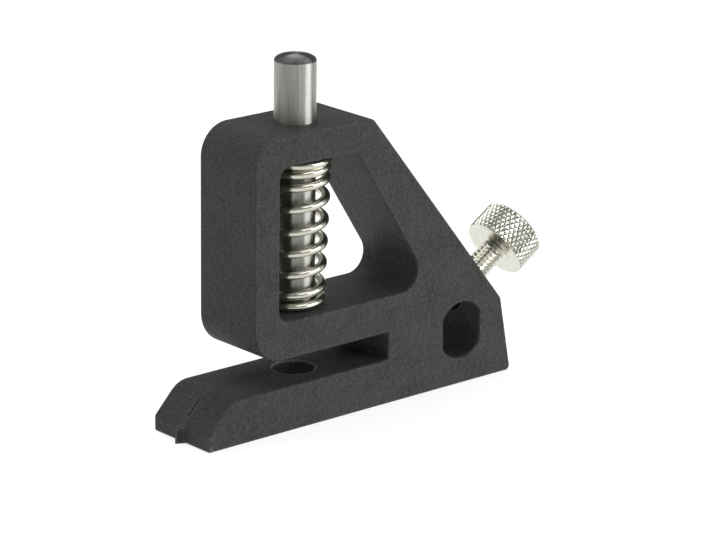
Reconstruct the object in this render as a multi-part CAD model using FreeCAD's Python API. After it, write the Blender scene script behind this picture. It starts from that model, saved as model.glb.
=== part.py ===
"""Spring-return punch head for an adjustable multi-hole paper punch, in millimetres.

Frame: the origin is on the punch axis at the base plane.  +X runs from the tip of the foot
towards the thumb screw, +Y across the thickness, +Z up along the punch.
Each function makes one separate piece; the pieces are written to parts/ by name.
"""
import FreeCAD
import Part
import math
import os

V = FreeCAD.Vector

# ---- Driving dimensions -------------------------------------------------------------------

THICKNESS = 12.3          # body, across Y
HEIGHT = 43.3             # top of the head above the base plane
EDGE_BREAK = 0.3          # radius that softens the outline edges of both side faces
CUT_OVERRUN = 2.0         # cutters run this far past the body
TOLERANCE = 0.001         # edges are told apart to this

TIP_X = -20.4             # front end of the foot
TIP_FACE_Z = 2.35         # height of the foot's upright front face
TIP_SLOPE_DEG = 46.5      # slope from that face up to the top of the foot
TIP_NOSE_R = 0.6
TIP_CROWN_R = 4.0
TIP_BASE_R = 0.4
FOOT_TOP_Z = 6.7          # lower face of the paper slot
SLOT_TOP_Z = 10.8         # upper face of the paper slot
SLOT_END_X = 12.75        # closed end of the paper slot
SLOT_CORNER_R = 0.2

HEAD_FRONT_X = -12.12     # front wall of the head
HEAD_TOP_R = 4.6
HEAD_BASE_R = 5.0
NECK_X = 9.26             # where the top face meets the sloping back
BACK_RUN = 0.809          # sloping back: mm along +X for each mm down
NECK_R = 2.0
REAR_BASE_X = 37.12       # rear face, where it meets the base plane
REAR_LEAN = 0.194         # rear face: mm along -X for each mm up
REAR_TOP_R = 1.2
REAR_BASE_R = 0.7

WINDOW_LEFT_X = -7.7
WINDOW_FLOOR_Z = 16.35
WINDOW_TOP_Z = 38.8
WINDOW_BACK_X = 8.79      # sloping side of the window at Z = WINDOW_BACK_Z
WINDOW_BACK_Z = 35.0
WINDOW_BACK_RUN = 0.640
WINDOW_RADII = (1.8, 3.0, 1.0, 2.0)   # lower left, lower right, upper right, upper left

RAIL_X = 27.05            # centre of the rail hole
RAIL_Z = 8.25
RAIL_R = 4.25             # round top and bottom of the rail hole
RAIL_FLAT = 3.6           # centre to each flat side
RAIL_CORNER_R = 0.5

PUNCH_R = 3.0             # punches a standard 6 mm filing hole
BORE_R = 3.05             # guide bores and die bore
BORE_CHAMFER = 0.15

PUNCH_TIP_Z = 11.5        # cutting edge at rest, hidden just above the slot
PUNCH_SIDE_TOP_Z = 51.9
CROWN_FLAT_R = 1.0        # the pressed end is flat inside this, and rounded outside it
CROWN_RISE = 0.9          # from the end of the cylindrical side to the flat
TIP_HOLLOW_R = 5.0        # radius of the hollow grind across the cutting end

RING_THICKNESS = 0.4
RING_R = 4.65
RING_CEILING_GAP = 0.02   # the ring all but touches the top of the window at rest
GROOVE_R = 2.35
GROOVE_CLEARANCE = 0.03   # above and below the ring in its groove
RING_LUG_R = 2.4          # inner radius where the lugs grip the groove
RING_LUG_WIDTH = 1.6
RING_LUG_ANGLES = (90, 180, 270)
RING_RELIEF_R = 3.15      # inner radius between the lugs
RING_LUG_OVERLAP = 0.2    # each lug runs this far into the ring
RING_MOUTH = 4.6          # width of the ring's open side

WIRE_R = 0.65
COIL_R = 4.25             # axis of the wire from the axis of the spring
CLOSED_TURNS = (1.55, 1.9)  # closed turns at the bottom and at the top
ACTIVE_TURNS = 5.0
PITCH_BLEND_TURNS = 0.5   # to each side of where a closed end opens into the active turns
SPRING_START_DEG = 200.0
SPRING_END_GAP = 0.01     # between the end coils and what they rest on
CLOSED_GAP = 0.03         # between closed coils
POINTS_PER_TURN = 16

SCREW_X = 33.51           # where the screw's axis leaves the sloping back
SCREW_Z = 13.32
SCREW_TILT_DEG = 33.2     # the axis above horizontal, a few degrees off square to the back
SCREW_R = 1.99            # M4 thread, crest radius
TAPPED_HOLE_R = 2.05
TAPPED_HOLE_CHAMFER = 0.3
SCREW_REACH = 6.63        # back of the body to the underside of the knurled head
SCREW_TIP_BACK = 0.5      # how far the screw's end stops short of the rail hole
SCREW_TIP_CHAMFER = 0.5
SCREW_NECK = 0.5          # plain length between thread and head
SCREW_NECK_R = 1.85
HEAD_R = 4.97
HEAD_T = 4.8
HEAD_UNDER_CHAMFER = 0.1
HEAD_TOP_CHAMFER = 0.25

RIB_HALF_WIDTH = 0.6      # pointer rib on the nose of the foot, where it leaves the nose
RIB_HEIGHT = 1.1
RIB_RIDGE_TOP_Z = 2.1     # its ridge is upright up to here, then leans back to the slope
RIB_END_RUN = 1.08        # and meets the slope this far behind the nose
GROOVE_LINE_HALF_WIDTH = 0.3   # scribed centre line above the rib, up the slope
GROOVE_LINE_DEPTH = 0.42

OUT = "parts"


# ---- Helpers ------------------------------------------------------------------------------

def box(x0, x1, y0, y1, z0, z1):
    return Part.makeBox(x1 - x0, y1 - y0, z1 - z0, V(x0, y0, z0))


def unit(a, b):
    return (b - a).normalize()


def rounded_wire(corners):
    """Closed wire in the XZ plane through (x, z, radius) corners, with tangent arcs."""
    points = [V(x, 0, z) for x, z, _ in corners]
    entries, exits, middles = [], [], []
    count = len(points)
    for i, (_, _, radius) in enumerate(corners):
        corner = points[i]
        back = unit(corner, points[i - 1])
        ahead = unit(corner, points[(i + 1) % count])
        half = back.getAngle(ahead) / 2
        reach = radius / math.tan(half)
        entries.append(corner + back * reach)
        exits.append(corner + ahead * reach)
        inward = (back + ahead).normalize()
        middles.append(corner + inward * (radius / math.sin(half) - radius))
    edges = []
    for i in range(count):
        if corners[i][2] > 0:
            edges.append(Part.Arc(entries[i], middles[i], exits[i]).toShape())
        edges.append(Part.LineSegment(exits[i], entries[(i + 1) % count]).toShape())
    return Part.Wire(edges)


def prism(wire, half_width):
    """Solid from a wire in the XZ plane, from -half_width to +half_width along Y."""
    face = Part.Face(wire)
    face.translate(V(0, -half_width, 0))
    return face.extrude(V(0, 2 * half_width, 0))


def polygon_face(points):
    return Part.Face(Part.makePolygon(points + points[:1]))


def revolve_z(points):
    """Solid of revolution about Z from (r, z) points; the profile closes on the axis."""
    profile = polygon_face([V(r, 0, z) for r, z in points])
    return profile.revolve(V(0, 0, 0), V(0, 0, 1), 360)


def screw_frame(shape):
    """Moves a piece made along +Z to the screw's axis, its origin on the sloping back."""
    shape.rotate(V(0, 0, 0), V(0, 1, 0), 90 - SCREW_TILT_DEG)
    shape.translate(V(SCREW_X, 0, SCREW_Z))
    return shape


def rear_x(z):
    return REAR_BASE_X - REAR_LEAN * z


def screw_to_rail():
    """Length of the tapped hole: from the sloping back to the round top of the rail hole."""
    tilt = math.radians(SCREW_TILT_DEG)
    run, rise = SCREW_X - RAIL_X, SCREW_Z - RAIL_Z
    along = run * math.cos(tilt) + rise * math.sin(tilt)
    aside = run * math.sin(tilt) - rise * math.cos(tilt)
    return along - math.sqrt(RAIL_R ** 2 - aside ** 2)


# ---- Body ---------------------------------------------------------------------------------

def outline():
    slope_run = (FOOT_TOP_Z - TIP_FACE_Z) / math.tan(math.radians(TIP_SLOPE_DEG))
    knee_z = (REAR_BASE_X - NECK_X - HEIGHT * BACK_RUN) / (REAR_LEAN - BACK_RUN)
    return rounded_wire([
        (TIP_X, 0, TIP_BASE_R),
        (TIP_X, TIP_FACE_Z, TIP_NOSE_R),
        (TIP_X + slope_run, FOOT_TOP_Z, TIP_CROWN_R),
        (SLOT_END_X, FOOT_TOP_Z, SLOT_CORNER_R),
        (SLOT_END_X, SLOT_TOP_Z, SLOT_CORNER_R),
        (HEAD_FRONT_X, SLOT_TOP_Z, HEAD_BASE_R),
        (HEAD_FRONT_X, HEIGHT, HEAD_TOP_R),
        (NECK_X, HEIGHT, NECK_R),
        (rear_x(knee_z), knee_z, REAR_TOP_R),
        (REAR_BASE_X, 0, REAR_BASE_R),
    ])


def window():
    top_x = WINDOW_BACK_X - (WINDOW_TOP_Z - WINDOW_BACK_Z) * WINDOW_BACK_RUN
    floor_x = WINDOW_BACK_X + (WINDOW_BACK_Z - WINDOW_FLOOR_Z) * WINDOW_BACK_RUN
    lower_left, lower_right, upper_right, upper_left = WINDOW_RADII
    return rounded_wire([
        (WINDOW_LEFT_X, WINDOW_FLOOR_Z, lower_left),
        (floor_x, WINDOW_FLOOR_Z, lower_right),
        (top_x, WINDOW_TOP_Z, upper_right),
        (WINDOW_LEFT_X, WINDOW_TOP_Z, upper_left),
    ])


def rail_hole():
    """Double-D hole: round top and bottom, flat front and rear, corners just broken."""
    width = THICKNESS + 2 * CUT_OVERRUN
    disc = Part.makeCylinder(RAIL_R, width, V(RAIL_X, -width / 2, RAIL_Z), V(0, 1, 0))
    flats = box(RAIL_X - RAIL_FLAT, RAIL_X + RAIL_FLAT, -width / 2, width / 2,
                RAIL_Z - RAIL_R, RAIL_Z + RAIL_R)
    hole = disc.common(flats)
    corners = [edge for edge in hole.Edges if edge.BoundBox.YLength > THICKNESS
               and abs(abs(edge.CenterOfMass.x - RAIL_X) - RAIL_FLAT) < TOLERANCE]
    return hole.makeFillet(RAIL_CORNER_R, corners)


def side_face_edges(solid):
    """Edges of the two flat side faces, apart from the round bores'."""
    half = THICKNESS / 2
    return [e for e in solid.Edges
            if e.BoundBox.YLength < TOLERANCE and abs(abs(e.CenterOfMass.y) - half) < TOLERANCE]


def slope_z(x):
    """Height of the foot's front slope at x."""
    return TIP_FACE_Z + (x - TIP_X) * math.tan(math.radians(TIP_SLOPE_DEG))


def pointer_rib():
    """Roof-shaped pointer: upright ridge on the nose, then leaning back into the slope."""
    ridge_x = TIP_X - RIB_HEIGHT
    end_x = TIP_X + RIB_END_RUN
    half = RIB_HALF_WIDTH * (end_x - ridge_x) / RIB_HEIGHT
    ridge_rise = (slope_z(end_x) - RIB_RIDGE_TOP_Z) / (end_x - ridge_x)
    nose_z = RIB_RIDGE_TOP_Z + ridge_rise * RIB_HEIGHT
    fall = (nose_z - TIP_FACE_Z) / RIB_HALF_WIDTH
    side_z = slope_z(end_x) - fall * half
    ridge_low, ridge_high = V(ridge_x, 0, 0), V(ridge_x, 0, RIB_RIDGE_TOP_Z)
    end = V(end_x, 0, slope_z(end_x))
    left_low, left_high = V(end_x, half, 0), V(end_x, half, side_z)
    right_low, right_high = V(end_x, -half, 0), V(end_x, -half, side_z)
    faces = [
        polygon_face([ridge_low, left_low, right_low]),
        polygon_face([ridge_low, ridge_high, left_high, left_low]),
        polygon_face([ridge_low, right_low, right_high, ridge_high]),
        polygon_face([ridge_high, end, left_high]),
        polygon_face([ridge_high, right_high, end]),
        polygon_face([left_low, left_high, end, right_high, right_low]),
    ]
    return Part.makeSolid(Part.makeShell(faces))


def centre_line():
    """V-groove cutter along the slope's middle, which runs out where the crown bends away."""
    slope = math.radians(TIP_SLOPE_DEG)
    normal = V(-math.sin(slope), 0, math.cos(slope))
    start = V(TIP_X + RIB_END_RUN, 0, slope_z(TIP_X + RIB_END_RUN))
    across = V(0, 2 * GROOVE_LINE_HALF_WIDTH, 0)
    above = start + normal * GROOVE_LINE_DEPTH
    profile = polygon_face([start - normal * GROOVE_LINE_DEPTH, above + across, above - across])
    return profile.extrude(V(math.cos(slope), 0, math.sin(slope)) * TIP_CROWN_R * 2)


def bores():
    """Guide bores and die bore on the punch axis, with their chamfers."""
    cuts = [Part.makeCylinder(BORE_R, HEIGHT + 2 * CUT_OVERRUN, V(0, 0, -CUT_OVERRUN))]
    for z in (HEIGHT, FOOT_TOP_Z):
        mouth = Part.makeCone(BORE_R + BORE_CHAMFER, BORE_R, BORE_CHAMFER, V(0, 0, z), V(0, 0, -1))
        cuts.append(mouth)
    return cuts


def tapped_hole():
    length = screw_to_rail() + CUT_OVERRUN
    hole = Part.makeCylinder(TAPPED_HOLE_R, length, V(0, 0, -length))
    mouth_rise = TAPPED_HOLE_CHAMFER + CUT_OVERRUN
    mouth = Part.makeCone(TAPPED_HOLE_R, TAPPED_HOLE_R + mouth_rise, mouth_rise,
                          V(0, 0, -TAPPED_HOLE_CHAMFER))
    return screw_frame(hole.fuse(mouth))


def punch_body():
    half = THICKNESS / 2
    solid = prism(outline(), half).cut(prism(window(), half + CUT_OVERRUN)).cut(rail_hole())
    solid = solid.makeFillet(EDGE_BREAK, side_face_edges(solid))
    solid = solid.fuse(pointer_rib())
    for cutter in bores() + [tapped_hole(), centre_line()]:
        solid = solid.cut(cutter)
    return solid.removeSplitter()


# ---- Punch, ring and spring ---------------------------------------------------------------

def ring_top_z():
    return WINDOW_TOP_Z - RING_CEILING_GAP


def punch_blank():
    """Solid of revolution: cylindrical side, elliptical shoulder and flat pressed end."""
    top = PUNCH_SIDE_TOP_Z + CROWN_RISE
    crown = Part.Ellipse(V(PUNCH_R, 0, PUNCH_SIDE_TOP_Z), V(CROWN_FLAT_R, 0, top),
                         V(CROWN_FLAT_R, 0, PUNCH_SIDE_TOP_Z))
    shoulder = crown.toShape(0, math.pi / 2)
    corners = [V(CROWN_FLAT_R, 0, top), V(0, 0, top), V(0, 0, PUNCH_TIP_Z),
               V(PUNCH_R, 0, PUNCH_TIP_Z), V(PUNCH_R, 0, PUNCH_SIDE_TOP_Z)]
    straight = [Part.makeLine(a, b) for a, b in zip(corners, corners[1:])]
    profile = Part.Face(Part.Wire([shoulder] + straight))
    return profile.revolve(V(0, 0, 0), V(0, 0, 1), 360)


def punch_pin():
    """Hardened punch: rounded pressed end, ring groove, hollow-ground cutting end."""
    groove_low = ring_top_z() - RING_THICKNESS - GROOVE_CLEARANCE
    groove_wide = RING_THICKNESS + 2 * GROOVE_CLEARANCE
    groove = Part.makeCylinder(PUNCH_R + CUT_OVERRUN, groove_wide, V(0, 0, groove_low))
    groove = groove.cut(Part.makeCylinder(GROOVE_R, groove_wide, V(0, 0, groove_low)))
    depth = TIP_HOLLOW_R - math.sqrt(TIP_HOLLOW_R ** 2 - PUNCH_R ** 2)
    hollow_z = PUNCH_TIP_Z + depth - TIP_HOLLOW_R
    hollow = Part.makeCylinder(TIP_HOLLOW_R, 4 * PUNCH_R, V(0, -2 * PUNCH_R, hollow_z), V(0, 1, 0))
    return punch_blank().cut(groove).cut(hollow)


def ring_disc(radius):
    return Part.makeCylinder(radius, RING_THICKNESS, V(0, 0, ring_top_z() - RING_THICKNESS))


def retaining_ring():
    """E-shaped ring: three lugs in the punch's groove, open on its rear side."""
    low, high = ring_top_z() - RING_THICKNESS, ring_top_z()
    ring = ring_disc(RING_R).cut(ring_disc(RING_RELIEF_R))
    lug_reach = ring_disc(RING_RELIEF_R + RING_LUG_OVERLAP).cut(ring_disc(RING_LUG_R))
    for angle in RING_LUG_ANGLES:
        lug = box(0, RING_R, -RING_LUG_WIDTH / 2, RING_LUG_WIDTH / 2, low, high)
        lug.rotate(V(0, 0, 0), V(0, 0, 1), angle)
        ring = ring.fuse(lug.common(lug_reach))
    mouth = box(0, RING_R + CUT_OVERRUN, -RING_MOUTH / 2, RING_MOUTH / 2, low, high)
    return ring.cut(mouth).removeSplitter()


def spring_turns():
    return CLOSED_TURNS[0] + ACTIVE_TURNS + CLOSED_TURNS[1]


def spring_height(turn, length):
    """Height of the wire's centre above the first coil's, after that many turns."""
    opens = CLOSED_TURNS[0]
    closes = opens + ACTIVE_TURNS
    blend = PITCH_BLEND_TURNS
    closed = 2 * WIRE_R + CLOSED_GAP
    pitch = (length - closed * sum(CLOSED_TURNS)) / ACTIVE_TURNS
    marks = [(0, closed), (opens - blend, closed), (opens + blend, pitch),
             (closes - blend, pitch), (closes + blend, closed), (spring_turns(), closed)]
    height = 0.0
    for (t0, p0), (t1, p1) in zip(marks, marks[1:]):
        run = max(0.0, min(turn, t1) - t0)
        height += p0 * run + (p1 - p0) * run * run / (2 * (t1 - t0))
    return height


def return_spring():
    """Round-wire compression spring with closed ends, from the window's floor to the ring."""
    low_z = WINDOW_FLOOR_Z + WIRE_R + SPRING_END_GAP
    high_z = ring_top_z() - RING_THICKNESS - WIRE_R - SPRING_END_GAP
    count = round(spring_turns() * POINTS_PER_TURN)
    points = []
    for i in range(count + 1):
        turn = spring_turns() * i / count
        angle = math.radians(SPRING_START_DEG) + 2 * math.pi * turn
        height = low_z + spring_height(turn, high_z - low_z)
        points.append(V(COIL_R * math.cos(angle), COIL_R * math.sin(angle), height))
    curve = Part.BSplineCurve()
    curve.interpolate(points)
    path = Part.Wire([curve.toShape()])
    start = curve.value(curve.FirstParameter)
    heading = curve.tangent(curve.FirstParameter)[0]
    section = Part.Wire([Part.Circle(start, heading, WIRE_R).toShape()])
    return path.makePipeShell([section], True, True)


# ---- Thumb screw --------------------------------------------------------------------------

def thumb_screw():
    """One turned piece: shank at the thread's outer size, neck, and head with chamfered rims."""
    tip = SCREW_TIP_BACK - screw_to_rail()
    neck = SCREW_REACH - SCREW_NECK
    top = SCREW_REACH + HEAD_T
    profile = [(0, tip), (SCREW_R - SCREW_TIP_CHAMFER, tip), (SCREW_R, tip + SCREW_TIP_CHAMFER),
               (SCREW_R, neck - (SCREW_R - SCREW_NECK_R)), (SCREW_NECK_R, neck),
               (SCREW_NECK_R, SCREW_REACH), (HEAD_R - HEAD_UNDER_CHAMFER, SCREW_REACH),
               (HEAD_R, SCREW_REACH + HEAD_UNDER_CHAMFER),
               (HEAD_R, top - HEAD_TOP_CHAMFER), (HEAD_R - HEAD_TOP_CHAMFER, top), (0, top)]
    return screw_frame(revolve_z(profile))


# ---- Write the pieces ---------------------------------------------------------------------

def main():
    os.makedirs(OUT, exist_ok=True)
    pieces = {
        "punch_body": punch_body(),
        "punch_pin": punch_pin(),
        "retaining_ring": retaining_ring(),
        "return_spring": return_spring(),
        "thumb_screw": thumb_screw(),
    }
    for name, shape in pieces.items():
        if len(shape.Solids) != 1:
            raise ValueError(f"{name} has {len(shape.Solids)} solids")
        solid = shape.Solids[0]
        if not solid.isValid() or solid.Volume <= 0:
            raise ValueError(f"{name} is not a valid solid")
        solid.exportStep(f"{OUT}/{name}.step")
        b = solid.BoundBox
        print(f"{name}: volume {solid.Volume:.1f}, X {b.XMin:.2f}..{b.XMax:.2f}, "
              f"Y {b.YMin:.2f}..{b.YMax:.2f}, Z {b.ZMin:.2f}..{b.ZMax:.2f}")
    print(f"tapped hole length {screw_to_rail():.2f}")


main()
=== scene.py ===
"""Looks of the spring-return punch head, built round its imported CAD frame.

Metres throughout, in the CAD frame: the origin is on the punch axis at the base plane, +X runs
towards the thumb screw, +Y across the thickness and +Z up.  MM turns millimetres into metres.
"""
import math

import bpy
import numpy as np
from mathutils import Matrix, Vector


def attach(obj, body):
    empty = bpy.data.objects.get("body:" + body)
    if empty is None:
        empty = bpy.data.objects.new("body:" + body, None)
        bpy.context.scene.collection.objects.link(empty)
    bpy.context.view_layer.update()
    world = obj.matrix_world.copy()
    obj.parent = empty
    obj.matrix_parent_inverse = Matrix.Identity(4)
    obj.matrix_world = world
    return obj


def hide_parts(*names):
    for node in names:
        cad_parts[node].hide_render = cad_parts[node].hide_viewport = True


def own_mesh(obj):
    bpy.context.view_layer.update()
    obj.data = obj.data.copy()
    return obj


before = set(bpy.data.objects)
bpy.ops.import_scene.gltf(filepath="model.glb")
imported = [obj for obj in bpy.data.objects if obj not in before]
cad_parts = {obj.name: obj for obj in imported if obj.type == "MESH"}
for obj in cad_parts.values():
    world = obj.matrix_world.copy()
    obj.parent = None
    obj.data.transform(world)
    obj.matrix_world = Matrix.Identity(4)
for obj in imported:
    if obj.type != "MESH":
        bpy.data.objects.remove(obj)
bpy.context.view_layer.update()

MM = 0.001
TURN = 2 * math.pi

# ---- Camera, light and floor ----------------------------------------------------------------

CAMERA_PLACE = Vector((-303.52, -360.30, 168.51)) * MM
CAMERA_TURN_DEG = 41.25     # looks from -Y, turned this far towards +X
CAMERA_DOWN_DEG = 17.29
CAMERA_ROLL_DEG = 0.72
SENSOR_WIDTH = 36.0          # millimetres, as the lens is
LENS = 173.95
CLIP_START = 0.01

WORLD_LIGHT = 0.3
LIGHT_AIM = Vector((8.0, 0.0, 22.0)) * MM    # the middle of the object
SOFTBOXES = (                # name, place, width and height in metres, radiance
    ("key_right", (0.53, -0.71, 0.17), (0.6, 0.5), 5.6),
    ("front_high", (0.05, -0.85, 0.8), (0.7, 0.5), 2.0),
    ("overhead", (0.0, 0.35, 1.0), (1.2, 1.2), 2.0),
)
FLOOR_SIZE = 6.0
FLOOR_COLOUR = (0.93, 0.93, 0.92, 1.0)
FLOOR_PAINT = (0.3, 0.3, 0.298, 1.0)
FLOOR_GLOW = 0.85            # the floor is a lit sweep, so it is brighter than its paint

# ---- Marks on the CAD pieces ----------------------------------------------------------------

EDGE_WEAR_AND_HIGHLIGHT_WIDTH = 0.5 * MM         # width of the rubbed outside corners of the body, lightened further as a painted highlight
FOOT_TOP = 6.7 * MM
DIE_RIM_WEAR_AND_HIGHLIGHT_R = 3.38 * MM        # the ring round the die hole, worn and lightened as a painted highlight, reaches this far out
PUNCH_SIDE_TOP = 51.9 * MM   # the dark crown starts here
CROWN_REFLECTION_SPOT = Vector((-0.75, -0.85, 52.4)) * MM    # middle of the pale reflection painted on the crown

# ---- Return spring --------------------------------------------------------------------------

WIRE_R = 0.65 * MM
COIL_R = 4.25 * MM
SPRING_START_DEG = 200.0
SPRING_END_TURN = 8.45
FRONT_TURN = 0.08            # turns from the spring's start to its first pass in front
FRONT_HEIGHTS = (17.05, 18.7, 21.75, 24.9, 28.05, 31.4, 34.55, 36.42, 37.72)   # mm, each pass
SPRING_END_HEIGHTS = (17.02, 37.721)   # mm, the wire's middle at its two ends
SPRING_LEAN = (-0.4 * MM, 0.35 * MM)   # sideways at the foot and at the top
WIRE_STEPS_PER_TURN = 56
WIRE_SIDES = 24
WIRE_END_RUN = 0.06 * MM     # each end of the wire is rounded off over this length
WIRE_END_SHARE = 0.88        # to this share of its radius
WIRE_SHARP_DEG = 50

# ---- Thumb screw ----------------------------------------------------------------------------

SCREW_FOOT = Vector((33.51, 0.0, 13.32)) * MM
SCREW_AXIS = Vector((0.83676, 0.0, 0.54756)).normalized()
SCREW_TIP = -3.49 * MM
THREAD_CREST_R = 1.94 * MM
THREAD_ROOT_R = 1.56 * MM
THREAD_PITCH = 0.7 * MM
THREAD_ROOT_FLAT = 0.16      # shares of half a pitch; the crest's flat is the rest
THREAD_FLANK = 0.68
THREAD_ROOT_PAINTED_LIGHT = 0.3      # share of light that the painted shade leaves at the thread's roots, which are painted fully dark at 0
THREAD_RUNOUT = 1.2          # the thread grows by this for each step away from the neck
THREAD_STEPS = 12            # rings for each pitch
TIP_CHAMFER = 0.5 * MM
NECK_START = 6.13 * MM
NECK_R = 1.85 * MM
HEAD_UNDER = 6.63 * MM
HEAD_TOP = 11.43 * MM
HEAD_R = 4.97 * MM
HEAD_UNDER_CHAMFER = 0.1 * MM
HEAD_TOP_CHAMFER = 0.25 * MM
HEAD_FILLET = 0.15 * MM      # between neck and head
KNURL_TEETH = 40
KNURL_DEPTH = 0.15 * MM
KNURL_FLANK = 0.85           # share of each diamond that its groove flanks take
KNURL_SHADE_THINNING = 1.2            # higher for thinner lines of painted shade in the grooves
KNURL_ANGLE_DEG = 31.0
KNURL_STEPS = 56             # rings along the head
SCREW_SIDES = 640
SCREW_SHARP_DEG = 24


# ---- Node helpers ---------------------------------------------------------------------------

def add(tree, kind, inputs=None, **settings):
    """Makes a shader node; an input is a value, or a socket to link from."""
    made = tree.nodes.new(kind)
    for name, value in settings.items():
        setattr(made, name, value)
    for name, value in (inputs or {}).items():
        if isinstance(value, bpy.types.NodeSocket):
            tree.links.new(value, made.inputs[name])
        else:
            made.inputs[name].default_value = value
    return made


def new_material(name):
    material = bpy.data.materials.new(name)
    material.use_nodes = True
    tree = material.node_tree
    tree.nodes.clear()
    shader = add(tree, "ShaderNodeBsdfPrincipled")
    add(tree, "ShaderNodeOutputMaterial", {"Surface": shader.outputs["BSDF"]})
    return material, tree, shader


def place(tree):
    """Where the shaded point is on its piece, in metres."""
    return add(tree, "ShaderNodeTexCoord").outputs["Object"]


def stretched(tree, vector, scale):
    return add(tree, "ShaderNodeVectorMath", {0: vector, 1: scale},
               operation="MULTIPLY").outputs[0]


def noise(tree, vector, size, detail=2.0, roughness=0.5):
    """Noise whose features are about size metres across."""
    made = add(tree, "ShaderNodeTexNoise", {
        "Vector": vector, "Scale": 1.0 / size, "Detail": detail, "Roughness": roughness})
    return made.outputs["Fac"]


def cells(tree, vector, size):
    made = add(tree, "ShaderNodeTexVoronoi", {"Vector": vector, "Scale": 1.0 / size})
    return made.outputs["Distance"]


def remap(tree, value, low, high, to_low=0.0, to_high=1.0):
    made = add(tree, "ShaderNodeMapRange", {
        "Value": value, "From Min": low, "From Max": high, "To Min": to_low, "To Max": to_high})
    return made.outputs["Result"]


def calc(tree, operation, first, second):
    return add(tree, "ShaderNodeMath", {0: first, 1: second}, operation=operation).outputs[0]


def blend(tree, share, first, second):
    """Colour that goes from first to second as share goes from 0 to 1."""
    made = add(tree, "ShaderNodeMix", data_type="RGBA")
    for index, value in ((0, share), (6, first), (7, second)):
        if isinstance(value, bpy.types.NodeSocket):
            tree.links.new(value, made.inputs[index])
        else:
            made.inputs[index].default_value = value
    return made.outputs[2]


def bump(tree, height, distance, strength=1.0, under=None):
    inputs = {"Height": height, "Distance": distance, "Strength": strength}
    if under is not None:
        inputs["Normal"] = under
    return add(tree, "ShaderNodeBump", inputs).outputs["Normal"]


def link(tree, shader, **sockets):
    for name, socket in sockets.items():
        tree.links.new(socket, shader.inputs[name.replace("_", " ")])


def grey(value, warmth=0.0):
    return (value * (1 + 0.3 * warmth), value * (1 + 0.2 * warmth), value * (1 - warmth), 1.0)


# ---- Materials ------------------------------------------------------------------------------

def black_body():
    """Matte charcoal, fine-grained like a sintered or powder-coated surface."""
    material, tree, shader = new_material("black_body_grain")
    at = place(tree)
    grain = noise(tree, at, 0.4 * MM, 4.0, 0.75)
    pits = cells(tree, at, 0.42 * MM)
    cloud = noise(tree, at, 5.0 * MM, 3.0)
    colour = blend(tree, remap(tree, cloud, 0.35, 0.65), grey(0.024, 0.06), grey(0.036, 0.06))
    colour = blend(tree, remap(tree, grain, 0.42, 0.72), colour, grey(0.06, 0.06))
    # rubbed outside corners: wear, lightened further as a painted highlight along the edges
    colour = blend(tree, edge_wear_and_highlight(tree, grain), colour, grey(0.17, 0.05))
    # rim of the die hole: wear, lightened further as a painted highlight
    colour = blend(tree, die_rim_wear_and_highlight(tree, at), colour, grey(0.2, 0.1))
    shader.inputs["Specular IOR Level"].default_value = 0.3
    surface = bump(tree, grain, 0.35 * MM, 1.0)
    surface = bump(tree, pits, 0.15 * MM, 1.0, surface)
    surface = bump(tree, noise(tree, at, 0.9 * MM, 2.0), 0.3 * MM, 0.8, surface)
    link(tree, shader, Base_Color=colour, Normal=surface,
         Roughness=remap(tree, grain, 0.3, 0.7, 0.62, 0.46))
    return material


def edge_wear_and_highlight(tree, grain):
    """1 on outside corners, worn and lightened further as a painted highlight, where a rounded-off
    normal leaves the face's own.
    """
    rounded = add(tree, "ShaderNodeBevel", {"Radius": EDGE_WEAR_AND_HIGHLIGHT_WIDTH}, samples=8).outputs["Normal"]
    own = add(tree, "ShaderNodeNewGeometry").outputs["Normal"]
    match = add(tree, "ShaderNodeVectorMath", {0: rounded, 1: own},
                operation="DOT_PRODUCT").outputs["Value"]
    edge = remap(tree, match, 0.995, 0.93)
    return calc(tree, "MULTIPLY", edge, remap(tree, grain, 0.35, 0.6, 0.2, 0.8))


def die_rim_wear_and_highlight(tree, at):
    """1 on the rim of the die hole, which the punch and the chips wear bare, lightened further as
    a painted highlight.
    """
    parts = add(tree, "ShaderNodeSeparateXYZ", {"Vector": at}).outputs
    flat = add(tree, "ShaderNodeCombineXYZ", {"X": parts["X"], "Y": parts["Y"]}).outputs[0]
    radius = add(tree, "ShaderNodeVectorMath", {0: flat}, operation="LENGTH").outputs["Value"]
    inside = remap(tree, radius, DIE_RIM_WEAR_AND_HIGHLIGHT_R, DIE_RIM_WEAR_AND_HIGHLIGHT_R - 0.08 * MM)
    above = remap(tree, parts["Z"], FOOT_TOP - 0.2 * MM, FOOT_TOP - 0.14 * MM)
    below = remap(tree, parts["Z"], FOOT_TOP + 0.05 * MM, FOOT_TOP + 0.02 * MM)
    return calc(tree, "MULTIPLY", inside, calc(tree, "MULTIPLY", above, below))


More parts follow.
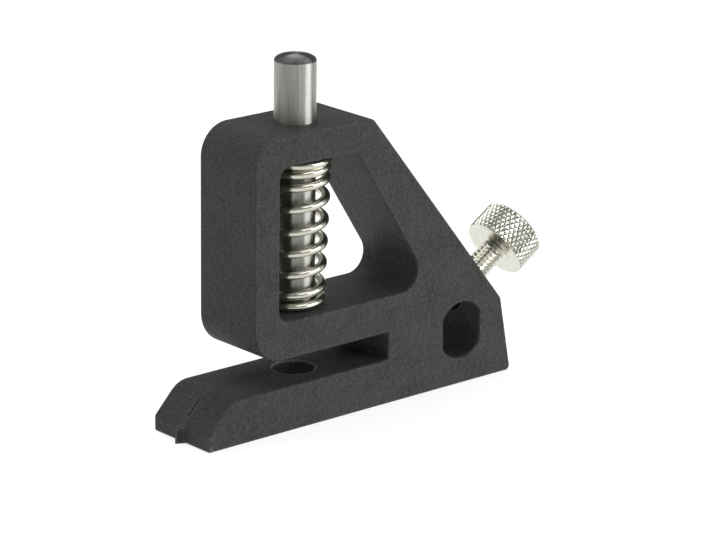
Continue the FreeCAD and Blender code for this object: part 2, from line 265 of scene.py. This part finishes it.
def ground_steel():
    """Ground punch steel, with a dark crown that carries a pale painted reflection in one place.
    """
    material, tree, shader = new_material("ground_steel_punch")
    at = place(tree)
    rings = noise(tree, stretched(tree, at, (200.0, 200.0, 16000.0)), 1.0, 3.0, 0.7)
    wear = noise(tree, stretched(tree, at, (2600.0, 2600.0, 90.0)), 1.0, 2.0)
    mottle = noise(tree, at, 0.5 * MM, 4.0, 0.6)
    height = add(tree, "ShaderNodeSeparateXYZ", {"Vector": at}).outputs["Z"]
    crown = remap(tree, height, PUNCH_SIDE_TOP - 0.02 * MM, PUNCH_SIDE_TOP + 0.08 * MM)
    reflection_distance = add(tree, "ShaderNodeVectorMath", {0: at, 1: CROWN_REFLECTION_SPOT},
               operation="DISTANCE").outputs["Value"]
    crown_reflection = remap(tree, calc(tree, "ADD", reflection_distance, calc(tree, "MULTIPLY", mottle, 0.9 * MM)),
                 1.9 * MM, 1.1 * MM)
    side = blend(tree, remap(tree, rings, 0.3, 0.7), grey(0.36, 0.06), grey(0.43, 0.06))
    side = blend(tree, remap(tree, wear, 0.45, 0.65, 0.0, 0.8), side, grey(0.29, 0.06))
    dark = blend(tree, remap(tree, mottle, 0.35, 0.65), grey(0.12, 0.03), grey(0.21, 0.03))
    # pale patch on the crown: a painted reflection
    dark = blend(tree, crown_reflection, dark, grey(0.32, 0.04))
    rough = calc(tree, "ADD", remap(tree, rings, 0.3, 0.7, 0.33, 0.38),
                 calc(tree, "MULTIPLY", crown, 0.25))
    shader.inputs["Metallic"].default_value = 1.0
    shader.inputs["Anisotropic"].default_value = 0.95
    shader.inputs["Anisotropic Rotation"].default_value = 0.25
    around = add(tree, "ShaderNodeTangent", direction_type="RADIAL", axis="Z")
    surface = bump(tree, rings, 0.002 * MM, 0.3)
    surface = bump(tree, mottle, 0.02 * MM, 0.15, surface)
    link(tree, shader, Base_Color=blend(tree, crown, side, dark), Roughness=rough,
         Normal=surface, Tangent=around.outputs["Tangent"])
    return material


def ring_steel():
    """Dark phosphated spring steel, stamped."""
    material, tree, shader = new_material("ring_steel_phosphate")
    at = place(tree)
    crystals = noise(tree, at, 0.09 * MM, 3.0, 0.7)
    patches = noise(tree, at, 1.4 * MM, 2.0)
    colour = blend(tree, remap(tree, patches, 0.35, 0.65), grey(0.12, 0.02), grey(0.2, 0.02))
    colour = blend(tree, remap(tree, crystals, 0.5, 0.8), colour, grey(0.34, 0.02))
    shader.inputs["Metallic"].default_value = 0.8
    link(tree, shader, Base_Color=colour, Roughness=remap(tree, crystals, 0.3, 0.7, 0.3, 0.48),
         Normal=bump(tree, crystals, 0.008 * MM, 0.5))
    return material


def spring_steel():
    """Bright plated wire with faint drawing lines along it and a little soot between coils."""
    material, tree, shader = new_material("spring_steel_wire")
    along = add(tree, "ShaderNodeUVMap", uv_map="wire").outputs["UV"]
    lines = noise(tree, stretched(tree, along, (1.5, 70.0, 1.0)), 1.0, 3.0, 0.65)
    soot = noise(tree, place(tree), 1.2 * MM, 3.0)
    colour = blend(tree, remap(tree, lines, 0.3, 0.7), grey(0.52, 0.13), grey(0.6, 0.11))
    colour = blend(tree, remap(tree, soot, 0.58, 0.78, 0.0, 0.5), colour, grey(0.36, 0.14))
    shader.inputs["Metallic"].default_value = 1.0
    link(tree, shader, Base_Color=colour, Roughness=remap(tree, lines, 0.3, 0.7, 0.17, 0.22),
         Normal=bump(tree, lines, 0.002 * MM, 0.25))
    return material


def nickel_plate():
    """Bright, slightly warm nickel with lathe marks, and painted shade at the bottom of its
    grooves.
    """
    material, tree, shader = new_material("nickel_plate_turned")
    turned = add(tree, "ShaderNodeUVMap", uv_map="turned").outputs["UV"]
    marks = noise(tree, stretched(tree, turned, (3.0, 9000.0, 1.0)), 1.0, 3.0, 0.7)
    film = noise(tree, place(tree), 0.8 * MM, 3.0)
    relief_and_painted_shade = add(tree, "ShaderNodeAttribute", attribute_name="relief_and_painted_shade").outputs["Fac"]
    colour = blend(tree, remap(tree, film, 0.35, 0.65), grey(0.62, 0.1), grey(0.72, 0.08))
    # painted shade in the grooves of thread and knurl, darkest where the relief is lowest
    colour = blend(tree, remap(tree, relief_and_painted_shade, 0.6, 0.0), colour, grey(0.05, 0.2))
    shader.inputs["Metallic"].default_value = 1.0
    surface = bump(tree, marks, 0.003 * MM, 0.5)
    surface = bump(tree, film, 0.03 * MM, 0.12, surface)
    link(tree, shader, Base_Color=colour, Roughness=remap(tree, marks, 0.3, 0.7, 0.13, 0.24),
         Normal=surface)
    return material


def floor_paint():
    material, tree, shader = new_material("floor_paint")
    tint = noise(tree, place(tree), 0.4, 2.0)
    shader.inputs["Roughness"].default_value = 0.9
    shader.inputs["Specular IOR Level"].default_value = 0.1
    shader.inputs["Emission Color"].default_value = FLOOR_COLOUR
    shader.inputs["Emission Strength"].default_value = FLOOR_GLOW
    link(tree, shader, Base_Color=blend(tree, tint, FLOOR_PAINT, grey(0.31, 0.01)))
    return material


# ---- Mesh helpers ---------------------------------------------------------------------------

def ringed_mesh(name, rings, uv_name, ring_uv, matrix=None):
    """Closed mesh through rings of points, its two ends closed by a fan.

    rings has the shape (ring, side, 3).  ring_uv gives each ring's (u, v) at its first side and
    the step in (u, v) from side to side.
    """
    count, sides = rings.shape[:2]
    ends = [rings[0].mean(0), rings[-1].mean(0)]
    points = np.vstack([rings.reshape(-1, 3), ends])
    side = np.arange(sides)
    following = (side + 1) % sides
    faces = []
    for i in range(count - 1):
        low, high = i * sides, (i + 1) * sides
        faces += np.stack([low + side, low + following, high + following, high + side], 1).tolist()
    last = (count - 1) * sides
    faces += [(count * sides, b, a) for a, b in zip(side.tolist(), following.tolist())]
    faces += [(count * sides + 1, last + a, last + b)
              for a, b in zip(side.tolist(), following.tolist())]
    mesh = bpy.data.meshes.new(name)
    mesh.from_pydata(points.tolist(), [], faces)
    layer = mesh.uv_layers.new(name=uv_name)
    corners = [vertex for face in faces for vertex in face]
    layer.data.foreach_set("uv", corner_uv(corners, faces, count, sides, ring_uv).ravel())
    if matrix is not None:
        mesh.transform(matrix)
    mesh.shade_smooth()
    piece = bpy.data.objects.new(name, mesh)
    bpy.context.scene.collection.objects.link(piece)
    return piece


def corner_uv(corners, faces, count, sides, ring_uv):
    """(u, v) of each face corner; the seam's corners run on past the last side."""
    starts, step = ring_uv
    starts = np.vstack([starts, starts[0], starts[-1]])
    index = np.array(corners)
    ring = np.where(index < count * sides, index // sides, count + index - count * sides)
    side = np.where(index < count * sides, index % sides, 0)
    sizes = np.array([len(face) for face in faces])
    face_of = np.repeat(np.arange(len(faces)), sizes)
    highest = np.zeros(len(faces), int)
    np.maximum.at(highest, face_of, side)
    wraps = (side == 0) & (highest[face_of] == sides - 1)
    side = np.where(wraps, sides, side)
    return starts[ring] + side[:, None] * np.array(step)


def facing_out(piece):
    """Turns the faces of a closed mesh outwards."""
    mesh = piece.data
    mesh.calc_loop_triangles()
    points = np.array([v.co for v in mesh.vertices])
    triangles = np.array([t.vertices for t in mesh.loop_triangles])
    a, b, c = (points[triangles[:, k]] for k in range(3))
    if np.einsum("ij,ij->i", a, np.cross(b, c)).sum() < 0:
        mesh.flip_normals()


# ---- Return spring --------------------------------------------------------------------------

def smooth_heights(turns, known_turns, known_heights):
    """Monotone cubic through the known heights."""
    t, h = np.array(known_turns), np.array(known_heights)
    slope = np.diff(h) / np.diff(t)
    tangent = np.zeros_like(h)
    tangent[1:-1] = 2 * slope[:-1] * slope[1:] / (slope[:-1] + slope[1:])
    tangent[0], tangent[-1] = slope[0], slope[-1]
    i = np.clip(np.searchsorted(t, turns) - 1, 0, len(t) - 2)
    run = t[i + 1] - t[i]
    s = (turns - t[i]) / run
    return (h[i] * (1 + 2 * s) * (1 - s) ** 2 + tangent[i] * run * s * (1 - s) ** 2
            + h[i + 1] * s ** 2 * (3 - 2 * s) + tangent[i + 1] * run * s ** 2 * (s - 1))


def spring_line():
    """Points down the middle of the wire, from the lower end to the upper one."""
    turns = np.linspace(0, SPRING_END_TURN, round(SPRING_END_TURN * WIRE_STEPS_PER_TURN) + 1)
    passes = [FRONT_TURN + i for i in range(len(FRONT_HEIGHTS))]
    known_turns = [0.0] + passes + [SPRING_END_TURN]
    known = [SPRING_END_HEIGHTS[0], *FRONT_HEIGHTS, SPRING_END_HEIGHTS[1]]
    height = smooth_heights(turns, known_turns, known) * MM
    angle = math.radians(SPRING_START_DEG) + TURN * turns
    lean = np.interp(height, (height[0], height[-1]), SPRING_LEAN)
    turn = math.radians(CAMERA_TURN_DEG)
    x = COIL_R * np.cos(angle) + lean * math.cos(turn)
    y = COIL_R * np.sin(angle) - lean * math.sin(turn)
    return np.stack([x, y, height], 1)


def return_spring():
    """Round wire along the spring's line, its ends rounded off."""
    line = spring_line()
    tangent = np.gradient(line, axis=0)
    tangent /= np.linalg.norm(tangent, axis=1)[:, None]
    outward = line * (1, 1, 0)
    outward -= tangent * np.sum(outward * tangent, 1)[:, None]
    outward /= np.linalg.norm(outward, axis=1)[:, None]
    across = np.cross(tangent, outward)
    angle = np.arange(WIRE_SIDES) / WIRE_SIDES * TURN
    circle = (np.cos(angle)[None, :, None] * outward[:, None] +
              np.sin(angle)[None, :, None] * across[:, None])
    rings = line[:, None] + WIRE_R * circle
    first = line[0] - WIRE_END_RUN * tangent[0] + WIRE_END_SHARE * WIRE_R * circle[0]
    last = line[-1] + WIRE_END_RUN * tangent[-1] + WIRE_END_SHARE * WIRE_R * circle[-1]
    rings = np.concatenate([first[None], rings, last[None]])
    travel = np.arange(len(rings)) / WIRE_STEPS_PER_TURN * TURN * COIL_R / MM
    starts = np.stack([travel, np.zeros(len(rings))], 1)
    spring = ringed_mesh("return_spring_coil", rings, "wire", (starts, (0.0, 1 / WIRE_SIDES)))
    facing_out(spring)
    spring.data.set_sharp_from_angle(angle=math.radians(WIRE_SHARP_DEG))
    spring.data.materials.append(spring_steel())
    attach(spring, "frame")
    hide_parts("return_spring")
    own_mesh(spring)


# ---- Thumb screw ----------------------------------------------------------------------------

def thread_radius(angle, z):
    """Radius of the thread and the level of painted shade in its roots: flat crests and roots
    joined by straight flanks.
    """
    phase = np.mod(z / THREAD_PITCH - angle / TURN, 1.0)
    off_root = np.abs(phase - 0.5) * 2
    relief_and_painted_shade = np.clip((off_root - THREAD_ROOT_FLAT) / THREAD_FLANK, 0, 1)
    radius = THREAD_ROOT_R + (THREAD_CREST_R - THREAD_ROOT_R) * relief_and_painted_shade
    tip_limit = THREAD_CREST_R - TIP_CHAMFER + (z - SCREW_TIP)
    neck_limit = NECK_R + np.maximum(NECK_START - z, 0) * THREAD_RUNOUT
    painted_light_level = THREAD_ROOT_PAINTED_LIGHT + (1 - THREAD_ROOT_PAINTED_LIGHT) * relief_and_painted_shade
    return np.minimum(radius, np.minimum(tip_limit, neck_limit)), painted_light_level


def knurl_radius(angle, z):
    """Radius of the diamond knurl and the level of painted shade in its grooves: two crossing
    families of V-grooves.
    """
    drift = z * math.tan(math.radians(KNURL_ANGLE_DEG)) / HEAD_R
    relief_and_painted_shade = np.ones_like(angle)
    for way in (1, -1):
        phase = np.mod(KNURL_TEETH * (angle + way * drift) / TURN, 1.0)
        relief_and_painted_shade = np.minimum(relief_and_painted_shade, np.abs(phase - 0.5) * 2)
    relief_and_painted_shade = np.minimum(relief_and_painted_shade / KNURL_FLANK, 1.0)
    return HEAD_R - KNURL_DEPTH * (1 - relief_and_painted_shade), np.minimum(relief_and_painted_shade * KNURL_SHADE_THINNING, 1.0)


def screw_stations():
    """(height, kind of surface, outer radius) of each ring of the screw, from tip to top."""
    for z in np.arange(SCREW_TIP, NECK_START, THREAD_PITCH / THREAD_STEPS):
        yield z, "thread", THREAD_CREST_R
    for z in np.linspace(NECK_START, HEAD_UNDER - HEAD_FILLET, 5):
        yield z, "plain", NECK_R
    for share in (0.35, 0.7, 1.0):
        left = math.cos(share * math.pi / 2)
        yield HEAD_UNDER - HEAD_FILLET * left, "plain", NECK_R + HEAD_FILLET * (1 - left)
    rim_r = HEAD_R - HEAD_UNDER_CHAMFER
    for r in np.linspace(NECK_R + 2 * HEAD_FILLET, rim_r - 0.12 * MM, 14):
        yield HEAD_UNDER, "plain", r
    yield HEAD_UNDER + 0.02 * MM, "plain", rim_r
    for z in np.linspace(HEAD_UNDER + 0.06 * MM, HEAD_TOP - 0.05 * MM, KNURL_STEPS):
        low = rim_r + (z - HEAD_UNDER)
        high = HEAD_R - HEAD_TOP_CHAMFER + (HEAD_TOP - z)
        yield z, "knurl", min(low, high, HEAD_R)
    top_r = HEAD_R - HEAD_TOP_CHAMFER
    for r in np.linspace(top_r, 0.3 * MM, 16):
        yield HEAD_TOP, "plain", r


def thumb_screw():
    """Threaded shank and knurled head, one closed mesh through the screw's rings."""
    angle = np.arange(SCREW_SIDES) / SCREW_SIDES * TURN
    rings, groove_shade_rings, travel = [], [], [0.0]
    for z, kind, limit in screw_stations():
        radius, relief_and_painted_shade = np.full(SCREW_SIDES, limit), np.ones(SCREW_SIDES)
        if kind == "thread":
            radius, relief_and_painted_shade = thread_radius(angle, z)
        if kind == "knurl":
            radius, relief_and_painted_shade = knurl_radius(angle, z)
            radius = np.minimum(radius, limit)
        rings.append(np.stack([radius * np.cos(angle), radius * np.sin(angle),
                               np.full(SCREW_SIDES, z)], 1))
        groove_shade_rings.append(relief_and_painted_shade)
        if len(rings) > 1:
            travel.append(travel[-1] + float(np.linalg.norm(rings[-1][0] - rings[-2][0])))
    starts = np.stack([np.zeros(len(rings)), travel], 1)
    side = Vector((0, 1, 0))
    axes = Matrix((side, SCREW_AXIS.cross(side), SCREW_AXIS)).transposed()
    matrix = Matrix.Translation(SCREW_FOOT) @ axes.to_4x4()
    screw = ringed_mesh("thumb_screw_knurled", np.array(rings), "turned",
                        (starts, (1 / SCREW_SIDES, 0.0)), matrix)
    facing_out(screw)
    screw.data.set_sharp_from_angle(angle=math.radians(SCREW_SHARP_DEG))
    # per-vertex level of the painted shade in the grooves
    relief_and_painted_shade = screw.data.attributes.new("relief_and_painted_shade", "FLOAT", "POINT")
    relief_and_painted_shade.data.foreach_set("value", np.append(np.concatenate(groove_shade_rings), (1.0, 1.0)))
    screw.data.materials.append(nickel_plate())
    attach(screw, "clamp_screw")
    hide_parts("thumb_screw")


# ---- Scene ----------------------------------------------------------------------------------

def finish_cad_nodes():
    """Gives each CAD piece that stays in view its material."""
    finishes = {"punch_body": black_body, "punch_pin": ground_steel, "retaining_ring": ring_steel}
    for name, make in finishes.items():
        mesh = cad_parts[name].data
        mesh.materials.clear()
        mesh.materials.append(make())


def floor():
    half = FLOOR_SIZE / 2
    mesh = bpy.data.meshes.new("floor")
    corners = [(-half, -half, 0), (half, -half, 0), (half, half, 0), (-half, half, 0)]
    mesh.from_pydata(corners, [], [(0, 1, 2, 3)])
    mesh.materials.append(floor_paint())
    sheet = bpy.data.objects.new("floor", mesh)
    bpy.context.scene.collection.objects.link(sheet)


def softbox(name, stands_at, size, radiance):
    """Area light that faces the middle of the object."""
    data = bpy.data.lights.new(name, "AREA")
    data.shape = "RECTANGLE"
    data.size, data.size_y = size
    data.energy = radiance * math.pi * size[0] * size[1]
    lamp = bpy.data.objects.new(name, data)
    lamp.location = stands_at
    lamp.rotation_euler = (LIGHT_AIM - Vector(stands_at)).to_track_quat("-Z", "Y").to_euler()
    bpy.context.scene.collection.objects.link(lamp)


def light():
    world = bpy.data.worlds.new("studio")
    world.use_nodes = True
    world.node_tree.nodes["Background"].inputs["Color"].default_value = (1.0, 1.0, 0.99, 1.0)
    world.node_tree.nodes["Background"].inputs["Strength"].default_value = WORLD_LIGHT
    bpy.context.scene.world = world
    for name, stands_at, size, radiance in SOFTBOXES:
        softbox(name, stands_at, size, radiance)


def camera():
    turn, down, roll = (math.radians(a)
                        for a in (CAMERA_TURN_DEG, CAMERA_DOWN_DEG, CAMERA_ROLL_DEG))
    ahead = Vector((math.sin(turn) * math.cos(down), math.cos(turn) * math.cos(down),
                    -math.sin(down)))
    level = Vector((math.cos(turn), -math.sin(turn), 0.0))
    upright = level.cross(ahead)
    right = level * math.cos(roll) + upright * math.sin(roll)
    up = upright * math.cos(roll) - level * math.sin(roll)
    data = bpy.data.cameras.new("camera")
    data.sensor_width = SENSOR_WIDTH
    data.lens = LENS
    data.clip_start = CLIP_START
    lens = bpy.data.objects.new("camera", data)
    lens.matrix_world = (Matrix.Translation(CAMERA_PLACE)
                         @ Matrix((right, up, -ahead)).transposed().to_4x4())
    bpy.context.scene.collection.objects.link(lens)
    bpy.context.scene.camera = lens


bpy.context.scene.view_settings.view_transform = "Standard"
camera()
light()
floor()
finish_cad_nodes()
return_spring()
thumb_screw()
